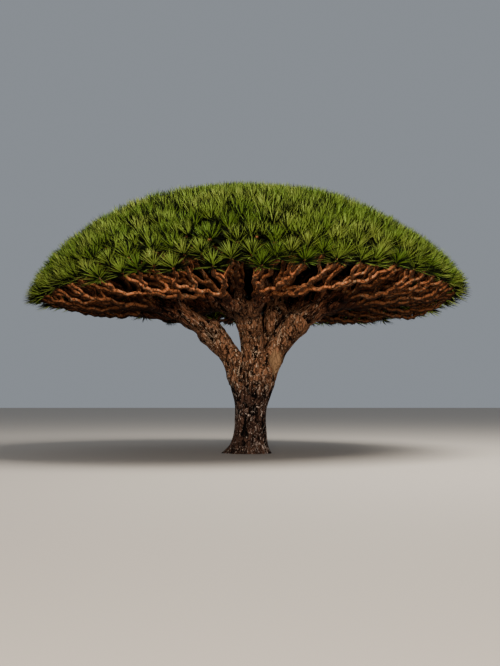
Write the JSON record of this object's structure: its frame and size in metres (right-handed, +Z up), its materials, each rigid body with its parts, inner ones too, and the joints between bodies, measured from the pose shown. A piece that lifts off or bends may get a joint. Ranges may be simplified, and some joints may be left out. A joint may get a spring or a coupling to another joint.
{
  "type": "dragon blood tree",
  "caption": "Dragon blood tree: a stout flared trunk forks into thick limbs that spread and fork again under a dense, shallow, umbrella-shaped crown of sword leaves.",
  "frame": {"origin": "middle of the flat cut under the trunk, at ground level", "axes": "+Z up the trunk, -Y towards the side that the picture shows, +X to the right seen from there"},
  "size_m": [12.3584, 12.3873, 7.6406],
  "materials": {
    "trunk_bark": "rough",
    "bough_bark": "rough",
    "leaves": "satin"
  },
  "bodies": {
    "root": {"trunk": "trunk_bark", "bough_left": "bough_bark", "bough_left_1": "bough_bark", "foliage_left_1a": "leaves", "foliage_left_1b": "leaves", "bough_left_2": "bough_bark", "foliage_left_2a": "leaves", "foliage_left_2b": "leaves", "bough_front": "bough_bark", "bough_front_1": "bough_bark", "foliage_front_1a": "leaves", "foliage_front_1b": "leaves", "bough_front_2": "bough_bark", "foliage_front_2a": "leaves", "foliage_front_2b": "leaves", "bough_middle": "bough_bark", "bough_middle_1": "bough_bark", "foliage_middle_1a": "leaves", "foliage_middle_1b": "leaves", "bough_middle_2": "bough_bark", "foliage_middle_2a": "leaves", "foliage_middle_2b": "leaves", "bough_right": "bough_bark", "bough_right_1": "bough_bark", "foliage_right_1a": "leaves", "foliage_right_1b": "leaves", "bough_right_2": "bough_bark", "foliage_right_2a": "leaves", "foliage_right_2b": "leaves", "bough_rear_left": "bough_bark", "bough_rear_left_1": "bough_bark", "foliage_rear_left_1a": "leaves", "foliage_rear_left_1b": "leaves", "bough_rear_left_2": "bough_bark", "foliage_rear_left_2a": "leaves", "foliage_rear_left_2b": "leaves", "bough_rear_right": "bough_bark", "bough_rear_right_1": "bough_bark", "foliage_rear_right_1a": "leaves", "foliage_rear_right_1b": "leaves", "bough_rear_right_2": "bough_bark", "foliage_rear_right_2a": "leaves", "foliage_rear_right_2b": "leaves"}
  },
  "joints": []
}
